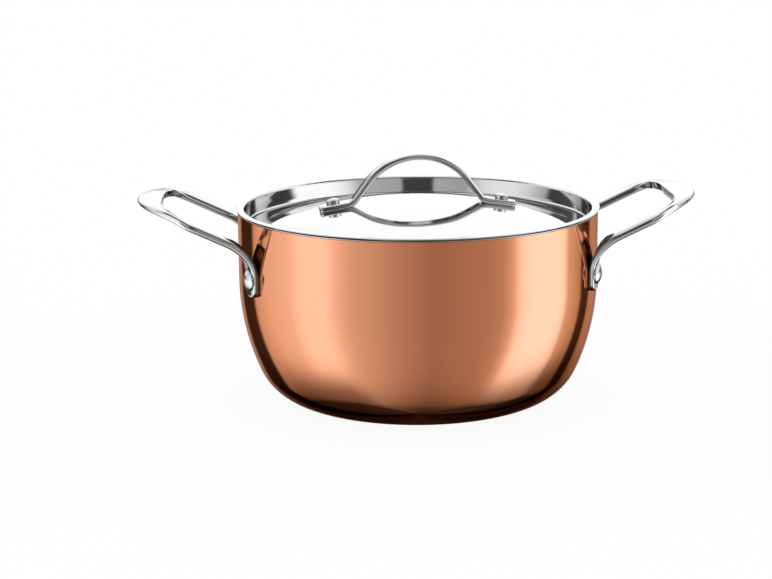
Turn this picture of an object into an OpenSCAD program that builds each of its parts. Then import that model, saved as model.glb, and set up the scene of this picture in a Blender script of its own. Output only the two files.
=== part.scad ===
// Copper casserole with a stainless lining, two riveted loop handles and a sunk, domed lid.
// Millimetres, +Z up. The origin is the centre of the base, and the loop handles lie along X.

/* [Pot] */
// Inner width of the mouth
mouth_d = 200; // [180:1:240]
// Height of the copper wall above the base
pot_h = 109.2; // [100:0.2:125]
// Thickness of the copper
copper_t = 1.7; // [1.2:0.1:2.5]
// Thickness of the steel lining
lining_t = 0.8; // [0.6:0.1:1.2]
// Width of the flat base
base_d = 125.6; // [110:0.2:135]
// Radius where the base turns up
corner_r = 31.2; // [20:0.1:34]
// Height of the upright part of the wall below the rim
straight_h = 38.2; // [30:0.2:46]
// Height of the steel bead on the rim
rim_t = 0.8; // [0.6:0.1:1.2]

/* [Loop handles] */
// Distance from the copper wall to the tip of a handle
handle_reach = 56; // [48:0.1:66]
// Outer width of a handle
handle_w = 99; // [90:0.5:108]
// Width of the handle strap
strap_w = 11.5; // [9:0.5:13]
// Thickness of the handle strap
strap_t = 4; // [3.4:0.1:4.6]
// Thickness of the root pads
pad_t = 3.2; // [2.8:0.1:3.6]
// Rounding of the edges of the root pads and of the grip
strap_edge = 1.1; // [0.6:0.1:1.3]
// Rounding of the edges of the arms
arm_edge = 1.8; // [1.1:0.1:1.9]
// Each arm stands this much further out than its pad
arm_spread = 1.35; // [0:0.05:3]
// Width of the grip, measured in from the tip
grip_w = 14.3; // [12:0.1:17]
// Slope of the handle arms in degrees
arm_slope = 25; // [20:1:30]
// Radius of the bend from the wall to the arm
root_bend_r = 22; // [18:0.5:26]
// Radius of the bend from the arm to the level grip
grip_bend_r = 42; // [36:1:50]
// Level part of the grip, measured back from the tip
grip_level = 6; // [3:0.1:9]
// Bow of the loop's end between its corners, seen from above
end_bow = 16; // [10:0.5:20]
// Radius of the corners of the loop, seen from above
loop_corner_r = 18; // [14:0.5:22]
// Radius of the corners of the finger opening
opening_corner_r = 13; // [10:0.5:20]
// Length over which an arm turns into the grip, measured across the handle
grip_blend = 30; // [20:1:40]
// Depth of the thumb hollow in the grip
dish_depth = 0.7; // [0.3:0.1:1.2]
// Drop of the grip's inner edge
inner_drop = 2.2; // [0.5:0.1:2.8]
// Rise of the grip's underside towards its outer edge
outer_lift = 1.8; // [0.5:0.1:2.2]
// Length of the root pad below its rivet
pad_drop = 10; // [8:0.1:13]
// Distance of the wall rivets below the edge of the copper
rivet_depth = 30.9; // [28:0.1:36]
// Distance of a wall rivet below the start of the root bend
rivet_drop = 1.3; // [0:0.1:3]

/* [Wall rivets] */
// Width of the outer rivet head
rivet_head_d = 11.6; // [9:0.1:12.5]
// Height of the outer rivet head
rivet_head_h = 3; // [2:0.1:3.4]
// Height of the straight edge of the outer head
rivet_edge_h = 1; // [0.5:0.1:1.3]
// Width of the rivet shank
rivet_shank_d = 6; // [5:0.1:7]
// Width of the head inside the pot
inner_head_d = 10; // [8:0.1:12]
// Height of the head inside the pot
inner_head_h = 1.6; // [1:0.1:2.2]

/* [Lid] */
// Thickness of the lid sheet
lid_t = 1; // [0.8:0.1:1.3]
// Gap between the lid and the mouth
lid_play = 0.4; // [0.3:0.05:0.8]
// Gap between the flange and the rim
lid_seat = 0.3; // [0.25:0.05:0.4]
// Reach of the flange past the copper wall
flange_over = 0.9; // [0.4:0.1:2]
// Depth of the channel below the flange
channel_depth = 10.6; // [8:0.1:13]
// Width of the channel floor round the dome
channel_w = 10; // [8:0.1:13]
// Rise of the dome above the channel floor
dome_rise = 13.2; // [10:0.1:16]
// Inside radius of the lid's bottom bend
channel_bend_r = 1.4; // [1:0.1:2.2]
// Inside radius of the bend under the flange
flange_bend_r = 0.5; // [0.4:0.05:0.7]

/* [Lid handle] */
// Height of the finger space above the middle of the dome
arch_h = 23.5; // [20:0.1:28]
// Inside radius of the arch
arch_r = 34.5; // [28:0.5:38]
// Slope of the arch legs in degrees
leg_slope = 53; // [44:1:56]
// Radius of the bend from leg to foot
foot_bend_r = 5.7; // [4.5:0.1:8]
// Distance between the two lid rivets
lid_rivet_gap = 96; // [94:0.5:106]
// Length of a foot beyond its rivet
foot_end = 8.3; // [5.5:0.1:10]
// Radius of the foot corners, seen from above
foot_corner_r = 2; // [1:0.1:3]
// Width of the lid handle strap
arch_w = 9.5; // [7.8:0.1:11]
// Thickness of the lid handle strap
arch_t = 3.4; // [2.8:0.1:4]
// Rounding of the lid handle's edges
arch_edge = 0.7; // [0.4:0.1:1]
// Turn of the lid handle against the loop handles, in degrees
lid_turn = 4; // [0:1:45]
// Width of the lid rivet heads
lid_head_d = 7.5; // [6:0.1:7.7]
// Height of the lid rivet heads
lid_head_h = 3.2; // [2:0.1:4]
// Height of the straight edge of the lid rivet heads
lid_head_edge_h = 2.3; // [1.5:0.1:2.8]
// Width of the lid rivet shank
lid_shank_d = 4; // [3:0.1:5]
// Width of the rivet head under the lid
under_head_d = 7; // [5.5:0.1:9]
// Height of the rivet head under the lid
under_head_h = 1.4; // [1:0.1:2]

/* [Fits] */
// Clearance round the rivet shanks
shank_play = 0.1; // [0.05:0.05:0.2]
// Clearance round the seats of the rivet heads
seat_play = 0.2; // [0.1:0.05:0.4]

/* [Hidden] */

// Overrun of every cut past the faces that it opens
over = 2;
copper = "#c8794f";
steel = "#c9cccf";
bright_steel = "#dfe1e3";

// Pot outline
mouth_r = mouth_d / 2;
wall_t = copper_t + lining_t;
wall_r = mouth_r + wall_t;
base_r = base_d / 2;
rim_z = pot_h + rim_t;
side_w = wall_r - base_r;
upright_z = pot_h - straight_h;
// The base fillet takes no more than this share of the side's width
corner_share = 0.9;
low_r = min(corner_r, side_w * corner_share);
side_r = (side_w * side_w + (upright_z - low_r) * (upright_z - low_r) - low_r * low_r)
         / (2 * (side_w - low_r));
low_c = [base_r, low_r];
side_c = [wall_r - side_r, upright_z];
meet_a = atan2(low_c[1] - side_c[1], low_c[0] - side_c[0]);

// Lid outline
lid_r = mouth_r - lid_play;
lid_inner_r = lid_r - lid_t;
flange_r = wall_r + flange_over;
flange_z = rim_z + lid_seat;
lid_top_z = flange_z + lid_t;
channel_z = lid_top_z - channel_depth;
dome_edge_r = lid_inner_r - channel_w;
dome_r = (dome_edge_r * dome_edge_r + dome_rise * dome_rise) / (2 * dome_rise);
dome_top_z = channel_z + dome_rise;
dome_c_z = dome_top_z - dome_r;

// Lid handle
lid_rivet_r = lid_rivet_gap / 2;
lid_rivet_tilt = asin(lid_rivet_r / dome_r);
arch_mid_r = arch_r + arch_t / 2;
arch_mid_z = dome_top_z + arch_h + arch_t / 2;
arch_c_z = arch_mid_z - arch_mid_r;
leg_top = [arch_mid_r * sin(leg_slope), arch_c_z + arch_mid_r * cos(leg_slope)];
// The feet start this far into the dome and are trimmed to it
foot_sink = 0.3;
foot_mid_r = dome_r + arch_t / 2 - foot_sink;
foot_mid = [foot_mid_r * sin(lid_rivet_tilt), dome_c_z + foot_mid_r * cos(lid_rivet_tilt)];
foot_corner_x = (leg_top[1] - foot_mid[1] + tan(leg_slope) * leg_top[0]
                 - tan(lid_rivet_tilt) * foot_mid[0]) / (tan(leg_slope) - tan(lid_rivet_tilt));
foot_corner = [foot_corner_x, foot_mid[1] - tan(lid_rivet_tilt) * (foot_corner_x - foot_mid[0])];
foot_turn = leg_slope - lid_rivet_tilt;
foot_tangent = foot_bend_r * tan(foot_turn / 2);
foot_bend_start = foot_corner - foot_tangent * [cos(leg_slope), -sin(leg_slope)];
foot_bend_c = foot_bend_start + foot_bend_r * [sin(leg_slope), cos(leg_slope)];
foot_way = [cos(lid_rivet_tilt), -sin(lid_rivet_tilt)];
foot_tip = foot_mid + foot_end * foot_way;

// Loop handle: side view, drawn along the middle of the strap
arm_y = (handle_w - strap_w) / 2;
pad_y = arm_y - arm_spread;
pad_mid_r = sqrt(wall_r * wall_r - strap_w * strap_w / 4) + pad_t / 2;
pad_turn = asin(pad_y / pad_mid_r);
pad_x = pad_mid_r * cos(pad_turn);
tip_x = wall_r + handle_reach;
level_x = tip_x - grip_level;
rivet_z = pot_h - rivet_depth;
root_z = rivet_z + rivet_drop;
root_turn = 90 - arm_slope;
root_tangent = root_bend_r * tan(root_turn / 2);
root_end_x = pad_x + root_tangent * cos(arm_slope);
arm_end_x = level_x - grip_bend_r * sin(arm_slope);
arm_end_z = root_z + root_tangent + tan(arm_slope) * (arm_end_x - pad_x);
level_z = arm_end_z + grip_bend_r * (1 - cos(arm_slope));
pad_end_z = rivet_z - pad_drop;
tongue_z = pad_end_z + strap_w / 2;
head_seat_r = pad_mid_r + pad_t / 2;
// The rounding of an arm takes no more than this share of half its thickness
round_share = 0.95;
arm_round = min(arm_edge, strap_t / 2 * round_share);

// Loop handle: plan view of the outer outline and of the finger opening
outer_y = handle_w / 2;
corner_c_y = outer_y - loop_corner_r;
corner_c_x = tip_x - loop_corner_r - end_bow;
end_r = loop_corner_r + (corner_c_y * corner_c_y + end_bow * end_bow) / (2 * end_bow);
end_c_x = tip_x - end_r;
corner_a = atan2(corner_c_y, corner_c_x - end_c_x);
opening_x = tip_x - grip_w;
opening_y = outer_y - strap_w;
opening_c = [opening_x - opening_corner_r, opening_y - opening_corner_r];

// Steps along the curves
round_fn = 96;
low_steps = 10;
side_steps = 8;
dome_steps = 20;
bend_steps = 6;
arch_steps = 16;
root_steps = 10;
corner_steps = 8;
end_steps = 10;
tongue_steps = 6;
edge_steps = 3;
foot_steps = 4;
// Places across the strap between its rounded edges, as shares of the flat width
top_shares = [0.6, 0.2, -0.2, -0.6];
bottom_shares = [-0.33, 0.33];
// The strap twists back to level over this share of the root bend
twist_share = 0.8;
// The inner edge starts to drop at this share of the half width
drop_share = 0.15;
// Narrowest slice of the rounded end of a pad, as a share of its width
tongue_share = 0.15;

// Points on an arc round c, from angle a0 to a1
function arc_points(c, r, a0, a1, steps) =
    [for (i = [0:steps]) let (a = a0 + (a1 - a0) * i / steps) c + r * [cos(a), sin(a)]];

// Eases from 0 to 1
function ease(x) = let (c = max(0, min(1, x))) c * c * (3 - 2 * c);

function unit(v) = v / norm(v);

// Outline of the pot, moved inward by o, from the axis to the height top_z
function pot_line(o, top_z) = concat(
    [[0, o]],
    arc_points(low_c, low_r - o, -90, meet_a, low_steps),
    [for (i = [1:side_steps]) let (a = meet_a * (1 - i / side_steps))
        side_c + (side_r - o) * [cos(a), sin(a)]],
    [[wall_r - o, top_z]]);

function reversed(list) = [for (i = [len(list) - 1:-1:0]) list[i]];

// Edge of the dome where its skin, moved down by o, meets the channel floor
function dome_foot(o) = sqrt((dome_r - o) * (dome_r - o)
                             - (channel_z - o - dome_c_z) * (channel_z - o - dome_c_z));

// Outline of the lid from the middle outward, moved down by o
function lid_line(o) = let (edge_a = acos(dome_foot(o) / (dome_r - o))) concat(
    arc_points([0, dome_c_z], dome_r - o, 90, edge_a, dome_steps),
    arc_points([lid_inner_r - channel_bend_r, channel_z + channel_bend_r],
               channel_bend_r + o, -90, 0, bend_steps),
    arc_points([lid_r + flange_bend_r, flange_z - flange_bend_r],
               flange_bend_r + lid_t - o, 180, 90, bend_steps));

// Cross-section of a strap as [across, up] points, with a hollow, a dropped inner edge and an
// underside that lifts towards the outer edge
function strap_section(w, t, edge, dish = 0, drop = 0, lift = 0) = let (
    e = min(edge, w / 2),
    flat_w = w / 2 - e,
    flat_t = t / 2 - edge,
    plain = concat(
        [for (i = [0:edge_steps]) let (a = 90 * i / edge_steps)
            [flat_w + e * cos(a), flat_t + edge * sin(a)]],
        [for (s = top_shares) [flat_w * s, t / 2]],
        [for (i = [0:edge_steps]) let (a = 90 + 90 * i / edge_steps)
            [-flat_w + e * cos(a), flat_t + edge * sin(a)]],
        [for (i = [0:edge_steps]) let (a = 180 + 90 * i / edge_steps)
            [-flat_w + e * cos(a), -flat_t + edge * sin(a)]],
        [for (s = bottom_shares) [flat_w * s, -t / 2]],
        [for (i = [0:edge_steps]) let (a = 270 + 90 * i / edge_steps)
            [flat_w + e * cos(a), -flat_t + edge * sin(a)]]))
    [for (p = plain) let (
        s = 2 * p[0] / w,
        hollow = p[1] > 0 ? dish * max(0, 1 - s * s) : 0,
        rise = p[1] < 0 && s > 0 ? lift * s * s : 0,
        inner = max(0, (-s - drop_share) / (1 - drop_share)))
        [p[0], p[1] - hollow + rise - drop * inner * inner]];

// A ring of the sweep at p, with across and up directions
function ring(p, across, up, section) = [for (q = section) p + q[0] * across + q[1] * up];

// Skins a list of rings of equal length
module skin(rings) {
    n = len(rings[0]);
    m = len(rings);
    side_faces = [for (j = [0:m - 2]) for (i = [0:n - 1]) let (k = (i + 1) % n)
        each [[j * n + i, j * n + k, (j + 1) * n + k], [j * n + i, (j + 1) * n + k, (j + 1) * n + i]]];
    polyhedron(points = [for (r = rings) each r],
               faces = concat([[for (i = [n - 1:-1:0]) i]], side_faces,
                              [[for (i = [0:n - 1]) (m - 1) * n + i]]),
               convexity = 6);
}

// Height of the middle of the handle strap at x, and its slope there in degrees
function grip_slope(x) = x >= level_x ? 0 : x <= arm_end_x ? arm_slope
    : asin((level_x - x) / grip_bend_r);
function grip_height(x) = x >= level_x ? level_z
    : x <= arm_end_x ? arm_end_z - tan(arm_slope) * (arm_end_x - x)
    : level_z - grip_bend_r * (1 - cos(grip_slope(x)));

// How far the strap has become a grip at a place of the plan: 0 on the arms, 1 at the tip
function grip_share(y) = ease((outer_y - y) / grip_blend);
function tip_share(y) = ease(1 - y / outer_y);

// Ring of the loop between a point o of the outer outline and a point i of the opening
function loop_ring(o, i) = let (
    m = (o + i) / 2,
    sl = grip_slope(m[0]),
    up = [-sin(sl), 0, cos(sl)],
    span = [o[0] - i[0], o[1] - i[1], tan(sl) * (o[0] - i[0])],
    g = grip_share(o[1]))
    ring([m[0], m[1], grip_height(m[0])], unit(span), up,
         strap_section(norm(span), strap_t, arm_round + (strap_edge - arm_round) * g,
                       dish_depth * g, inner_drop * g, outer_lift * tip_share(o[1])));

// The outer outline of a half loop and the opening's, point for point from the arm to the tip
function outer_half() = concat(
    arc_points([corner_c_x, corner_c_y], loop_corner_r, 90, corner_a, corner_steps),
    [for (i = [1:end_steps]) let (a = corner_a * (1 - i / end_steps))
        [end_c_x, 0] + end_r * [cos(a), sin(a)]]);
function opening_half() = concat(
    arc_points(opening_c, opening_corner_r, 90, 0, corner_steps),
    [for (i = [1:end_steps]) [opening_x, opening_c[1] * (1 - i / end_steps)]]);

// Rings of a half loop from the foot of its rear pad, where y is positive, to the tip
function half_loop() = let (
    pad_in = [-cos(pad_turn), -sin(pad_turn), 0],
    pad_across = [-sin(pad_turn), cos(pad_turn), 0],
    tongue = [for (i = [0:tongue_steps]) let (
        a = acos(tongue_share) * (1 - i / tongue_steps))
        ring([pad_x, pad_y, tongue_z - strap_w / 2 * sin(a)], pad_across, pad_in,
             strap_section(strap_w * cos(a), pad_t, strap_edge))],
    root = [for (i = [0:root_steps]) let (
        s = i / root_steps,
        th = 90 - root_turn * s,
        turn = pad_turn * (1 - ease(s / twist_share)),
        up0 = [-sin(th), 0, cos(th)],
        up = cos(turn) * up0 - sin(turn) * [0, 1, 0],
        across = cos(turn) * [0, 1, 0] + sin(turn) * up0,
        p = [pad_x + root_bend_r * (1 - sin(th)), pad_y + arm_spread * ease(s),
             root_z + root_bend_r * cos(th)])
        ring(p, across, up, strap_section(strap_w, pad_t + (strap_t - pad_t) * ease(s),
                                          strap_edge + (arm_round - strap_edge) * ease(s)))],
    outer = outer_half(),
    opening = opening_half(),
    arm_x = (root_end_x + min(corner_c_x, opening_c[0])) / 2,
    arm = [loop_ring([arm_x, outer_y], [arm_x, opening_y])],
    loop = [for (i = [0:len(outer) - 1]) loop_ring(outer[i], opening[i])])
    concat(tongue, root, arm, loop);

function mirrored(r) = [for (p = r) [p[0], -p[1], p[2]]];

// Places a child, made along Z, on the rivet axis of a handle side: 1 rear, -1 front
module at_wall_rivet(side) {
    rotate([0, 0, side * pad_turn])
        translate([0, 0, rivet_z])
            rotate([0, 90, 0])
                children();
}

// Places a child, made along Z from the dome surface, at a lid rivet: 1 right, -1 left
module at_lid_rivet(side) {
    rotate([0, 0, lid_turn])
        translate([0, 0, dome_c_z])
            rotate([0, side * lid_rivet_tilt, 0])
                translate([0, 0, dome_r])
                    children();
}

// Everything inside the outer face of the copper
module pot_inside(top_z) {
    rotate_extrude($fn = round_fn)
        polygon(concat(pot_line(0, top_z), [[0, top_z]]));
}

module rivet_holes(side, r) {
    at_wall_rivet(side)
        translate([0, 0, base_r])
            cylinder(r = r, h = wall_r - base_r + strap_t + over, $fn = round_fn);
}

module side_handle() {
    half = half_loop();
    front = [for (i = [len(half) - 2:-1:0]) mirrored(half[i])];
    color(steel)
        difference() {
            skin(concat(half, front));
            pot_inside(pot_h);
            for (side = [-1, 1]) {
                rivet_holes(side, rivet_shank_d / 2 + shank_play);
                at_wall_rivet(side)
                    translate([0, 0, head_seat_r])
                        cylinder(r = rivet_head_d / 2 + seat_play, h = strap_t + over, $fn = round_fn);
            }
        }
}

// A rivet on Z: seat and far are the faces of the stack, head_d and back_d the two heads
module rivet(far, seat, shank_d, head_d, head_h, edge_h, back_d, back_h) {
    cap = head_h - edge_h;
    cap_r = (head_d * head_d / 4 + cap * cap) / (2 * cap);
    cap_a = asin(head_d / (2 * cap_r));
    back_r = (back_d * back_d / 4 + back_h * back_h) / (2 * back_h);
    back_a = asin(back_d / (2 * back_r));
    rotate_extrude($fn = round_fn)
        polygon(concat(
            arc_points([0, far - back_h + back_r], back_r, -90, -90 + back_a, bend_steps),
            [[shank_d / 2, far], [shank_d / 2, seat], [head_d / 2, seat]],
            arc_points([0, seat + head_h - cap_r], cap_r, 90 - cap_a, 90, bend_steps)));
}

module wall_rivet(side) {
    color(bright_steel)
        at_wall_rivet(side)
            rivet(sqrt(mouth_r * mouth_r - inner_head_d * inner_head_d / 4), head_seat_r, rivet_shank_d,
                  rivet_head_d, rivet_head_h, rivet_edge_h, inner_head_d, inner_head_h);
}

module lid_rivet(side) {
    color(bright_steel)
        at_lid_rivet(side)
            rivet(sqrt((dome_r - lid_t) * (dome_r - lid_t) - under_head_d * under_head_d / 4) - dome_r,
                  arch_t - foot_sink, lid_shank_d, lid_head_d, lid_head_h, lid_head_edge_h,
                  under_head_d, under_head_h);
}

module copper_shell() {
    color(copper)
        difference() {
            rotate_extrude($fn = round_fn)
                polygon(concat(pot_line(0, pot_h), reversed(pot_line(copper_t, pot_h))));
            for (turn = [0, 180], side = [-1, 1])
                rotate([0, 0, turn]) rivet_holes(side, rivet_shank_d / 2 + shank_play);
        }
}

module steel_lining() {
    rim_round = rim_t / 2;
    rim_c = pot_h + rim_round;
    color(bright_steel)
        difference() {
            rotate_extrude($fn = round_fn)
                polygon(concat(
                    pot_line(copper_t, pot_h),
                    arc_points([wall_r - rim_round, rim_c], rim_round, -90, 90, bend_steps),
                    arc_points([mouth_r + rim_round, rim_c], rim_round, 90, 180, bend_steps),
                    reversed(pot_line(wall_t, rim_c))));
            for (turn = [0, 180], side = [-1, 1])
                rotate([0, 0, turn]) rivet_holes(side, rivet_shank_d / 2 + shank_play);
        }
}

module lid_pan() {
    flange_round = lid_t / 2;
    color(bright_steel)
        difference() {
            rotate_extrude($fn = round_fn)
                polygon(concat(
                    lid_line(0),
                    arc_points([flange_r - flange_round, flange_z + flange_round],
                               flange_round, 90, -90, bend_steps),
                    reversed(lid_line(lid_t))));
            for (side = [-1, 1])
                at_lid_rivet(side)
                    translate([0, 0, -lid_t - over])
                        cylinder(d = lid_shank_d + 2 * shank_play, h = lid_t + 2 * over, $fn = round_fn);
        }
}

// Everything under the outer face of the dome
module under_dome() {
    rotate_extrude($fn = round_fn)
        polygon(concat(lid_line(0), [[lid_inner_r, channel_z - over], [0, channel_z - over]]));
}

// Ring of the arch at a point of its side view, with the strap sloping down by sl
function arch_ring(p, sl, w) =
    ring([p[0], 0, p[1]], [0, -1, 0], [sin(sl), 0, cos(sl)], strap_section(w, arch_t, arch_edge));

// Rings of the arch from its top to the tip of one foot
function half_arch() = concat(
    [for (i = [0:arch_steps]) let (a = leg_slope * i / arch_steps)
        arch_ring([arch_mid_r * sin(a), arch_c_z + arch_mid_r * cos(a)], a, arch_w)],
    [for (i = [0:bend_steps]) let (a = leg_slope - foot_turn * i / bend_steps)
        arch_ring(foot_bend_c - foot_bend_r * [sin(a), cos(a)], a, arch_w)],
    [for (i = [0:foot_steps]) let (a = 90 * i / foot_steps)
        arch_ring(foot_tip - foot_corner_r * (1 - sin(a)) * foot_way, lid_rivet_tilt,
                  arch_w - 2 * foot_corner_r * (1 - cos(a)))]);

module lid_handle() {
    half = half_arch();
    other = [for (i = [len(half) - 1:-1:1]) [for (p = half[i]) [-p[0], p[1], p[2]]]];
    color(steel)
        difference() {
            rotate([0, 0, lid_turn]) skin(concat(other, half));
            under_dome();
            for (side = [-1, 1])
                at_lid_rivet(side) {
                    translate([0, 0, -over])
                        cylinder(d = lid_shank_d + 2 * shank_play, h = arch_t + 2 * over, $fn = round_fn);
                    translate([0, 0, arch_t - foot_sink])
                        cylinder(d = lid_head_d + 2 * seat_play, h = lid_head_h, $fn = round_fn);
                }
        }
}

module left_handle() {
    rotate([0, 0, 180]) side_handle();
}

module right_handle() {
    side_handle();
}

module left_front_rivet() {
    rotate([0, 0, 180]) wall_rivet(1);
}

module left_rear_rivet() {
    rotate([0, 0, 180]) wall_rivet(-1);
}

module right_front_rivet() {
    wall_rivet(-1);
}

module right_rear_rivet() {
    wall_rivet(1);
}

module left_lid_rivet() {
    lid_rivet(-1);
}

module right_lid_rivet() {
    lid_rivet(1);
}

copper_shell();
steel_lining();
left_handle();
right_handle();
left_front_rivet();
left_rear_rivet();
right_front_rivet();
right_rear_rivet();
lid_pan();
lid_handle();
left_lid_rivet();
right_lid_rivet();
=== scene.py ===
"""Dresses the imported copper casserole: turned pot and lid, forged loop handles, arched lid handle and rivets.

All lengths in the classes are millimetres in the part's own frame, as on the drawing; meshes are in metres.
"""

import logging
from dataclasses import dataclass, replace
from enum import Enum
from math import acos, asin, atan2, cos, degrees, hypot, pi, radians, sin, sqrt, tan, tau
from typing import Sequence

import bmesh
import bpy
from bpy.types import Material, Node, NodeSocket, NodeTree, Object, World
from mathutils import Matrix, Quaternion, Vector


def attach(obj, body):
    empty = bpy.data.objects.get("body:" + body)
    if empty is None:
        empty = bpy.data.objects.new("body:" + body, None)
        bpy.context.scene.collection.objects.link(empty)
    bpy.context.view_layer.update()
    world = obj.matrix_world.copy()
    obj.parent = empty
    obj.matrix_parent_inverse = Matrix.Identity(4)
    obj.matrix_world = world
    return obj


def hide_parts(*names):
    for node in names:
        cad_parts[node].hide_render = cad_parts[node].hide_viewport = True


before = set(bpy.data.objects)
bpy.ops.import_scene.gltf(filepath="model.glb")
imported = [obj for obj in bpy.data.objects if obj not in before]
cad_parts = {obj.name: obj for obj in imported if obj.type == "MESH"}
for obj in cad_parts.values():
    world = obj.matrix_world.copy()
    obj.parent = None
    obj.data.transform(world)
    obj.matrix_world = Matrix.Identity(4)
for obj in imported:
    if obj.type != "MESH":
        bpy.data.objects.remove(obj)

LOG = logging.getLogger("casserole")
MM = 0.001
SAME = 1e-6
DIGITS = 6
LATHE_STEPS = 240
SMALL_LATHE_STEPS = 72
PHOTO_WIDTH = 772
SENSOR_WIDTH = 36.0
WHITE = (1.0, 1.0, 1.0, 1.0)

Point2 = tuple[float, float]
Colour = tuple[float, float, float]
Ring = list[Vector]


class Body(Enum):
    """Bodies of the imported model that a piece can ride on."""

    POT = "pot"
    LID = "lid"


class Side(Enum):
    """The two loop handles, as the turn about the pot's axis in degrees."""

    RIGHT = 0
    LEFT = 180


def ease(x: float) -> float:
    """Eases from 0 to 1."""
    c = min(max(x, 0.0), 1.0)
    return c * c * (3 - 2 * c)


def arc(centre: Point2, radius: float, start: float, end: float, steps: int) -> list[Point2]:
    """Gives the points of an arc.

    Args:
        centre: Middle of the arc.
        radius: Radius of the arc.
        start: First angle in degrees.
        end: Last angle in degrees.
        steps: Number of steps between them.

    Returns:
        The points, first and last included.
    """
    turns = [radians(start + (end - start) * i / steps) for i in range(steps + 1)]
    return [(centre[0] + radius * cos(a), centre[1] + radius * sin(a)) for a in turns]


def swing(centre: Point2, radius: float, angle: float) -> Point2:
    """Gives the point of a circle at an angle in radians, from straight up to the right."""
    return centre[0] + radius * sin(angle), centre[1] + radius * cos(angle)


def ring_at(place: Vector, across: Vector, up: Vector, section: Sequence[Point2]) -> Ring:
    """Stands a section at a place, with its across and up directions."""
    return [place + across * x + up * y for x, y in section]


def backwards(rings: Sequence[Ring], mirror: Vector) -> list[Ring]:
    """Gives rings in the opposite order, each point multiplied by the signs of a mirror."""
    return [[point * mirror for point in ring] for ring in rings[::-1]]


def clear() -> None:
    """Leaves edit mode and deselects everything."""
    if bpy.context.object is not None and bpy.context.object.mode != "OBJECT":
        bpy.ops.object.mode_set(mode="OBJECT")
    bpy.ops.object.select_all(action="DESELECT")


def take(obj: Object) -> None:
    """Makes obj the only selected and the active object."""
    clear()
    obj.select_set(True)
    bpy.context.view_layer.objects.active = obj


def named(name: str) -> Object:
    """Names the active object and its mesh, and returns it."""
    bpy.context.object.name = bpy.context.object.data.name = name
    return bpy.context.object


def edit(kind: str, action: str = "SELECT") -> None:
    """Enters edit mode on vertices, edges or faces, with all or none of them selected."""
    bpy.ops.object.mode_set(mode="EDIT")
    bpy.ops.mesh.select_mode(type=kind)
    bpy.ops.mesh.select_all(action=action)


def close_up() -> None:
    """Merges doubles and turns the faces outward, in edit mode, then leaves it."""
    bpy.ops.mesh.select_all(action="SELECT")
    bpy.ops.mesh.remove_doubles(threshold=2 * SAME)
    bpy.ops.mesh.normals_make_consistent(inside=False)
    if bmesh.from_edit_mesh(bpy.context.edit_object.data).calc_volume(signed=True) < 0:
        bpy.ops.mesh.flip_normals()
    bpy.ops.object.mode_set(mode="OBJECT")


def smooth(obj: Object, angle: float = 32) -> Object:
    """Shades obj smooth but for edges sharper than an angle in degrees, and returns it."""
    take(obj)
    bpy.ops.object.shade_smooth_by_angle(angle=radians(angle))
    clear()
    return obj


def turn_on_lathe(name: str, outline: Sequence[Point2], steps: int = LATHE_STEPS) -> Object:
    """Draws an outline by pulling out a corner point by point, and spins it round the Z axis.

    Args:
        name: Name of the piece.
        outline: Closed outline as radius and height, in millimetres, without a repeated end.
        steps: Steps of the full turn.

    Returns:
        The closed solid, faces outward.
    """
    clear()
    here = outline[0]
    bpy.ops.mesh.primitive_plane_add(size=MM, location=(0, 0, 0))
    obj = named(name)
    edit("VERT")
    bpy.ops.mesh.merge(type="CENTER")
    bpy.ops.transform.translate(value=(here[0] * MM, 0, here[1] * MM))
    for point in (*outline[1:], outline[0]):
        step = ((point[0] - here[0]) * MM, 0.0, (point[1] - here[1]) * MM)
        bpy.ops.mesh.extrude_vertices_move(TRANSFORM_OT_translate={"value": step})
        here = point
    bpy.ops.mesh.select_all(action="SELECT")
    bpy.ops.mesh.remove_doubles(threshold=SAME)
    bpy.ops.mesh.select_all(action="SELECT")
    bpy.ops.mesh.spin(steps=steps, angle=tau, center=(0, 0, 0), axis=(0, 0, 1))
    close_up()
    return obj


def draw_out(name: str, rings: Sequence[Ring]) -> Object:
    """Draws a bar out of a filled circle: its end face is extruded ring by ring.

    Args:
        name: Name of the piece.
        rings: Sections from end to end, equal in number of points, in millimetres.

    Returns:
        The closed bar, faces outward.
    """
    clear()
    bpy.ops.mesh.primitive_circle_add(vertices=len(rings[0]), radius=MM, fill_type="NGON",
                                      location=(0, 0, 0))
    obj = named(name)
    edit("FACE")
    mesh = bmesh.from_edit_mesh(obj.data)
    for loop, goal in zip(next(iter(mesh.faces)).loops, rings[0]):
        loop.vert.co = goal * MM
    bmesh.update_edit_mesh(obj.data)
    for last, ring in zip(rings, rings[1:]):
        bpy.ops.mesh.extrude_region_move()
        mesh = bmesh.from_edit_mesh(obj.data)
        end = next(face for face in mesh.faces if face.select)
        goals = {(place * MM).to_tuple(DIGITS): goal for place, goal in zip(last, ring)}
        for corner in end.verts:
            corner.co = goals[corner.co.to_tuple(DIGITS)] * MM
        bmesh.update_edit_mesh(obj.data)
    close_up()
    return obj


def round_circle(obj: Object, radius: float, height: float, width: float, steps: int = 4) -> None:
    """Bevels an edge that runs round a turned piece. All lengths are millimetres.

    Args:
        obj: The piece.
        radius: Radius of the edge.
        height: Height of the edge.
        width: Width of the bevel.
        steps: Segments of the bevel.
    """
    near = 0.02
    take(obj)
    edit("EDGE", "DESELECT")
    for line in bmesh.from_edit_mesh(obj.data).edges:
        ends = [corner.co / MM for corner in line.verts]
        if all(abs(p.z - height) < near and abs(p.xy.length - radius) < near for p in ends):
            line.select_set(True)
    bmesh.update_edit_mesh(obj.data)
    bpy.ops.mesh.bevel(offset=width * MM, segments=steps, profile=0.5, clamp_overlap=True)
    bpy.ops.object.mode_set(mode="OBJECT")


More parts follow.
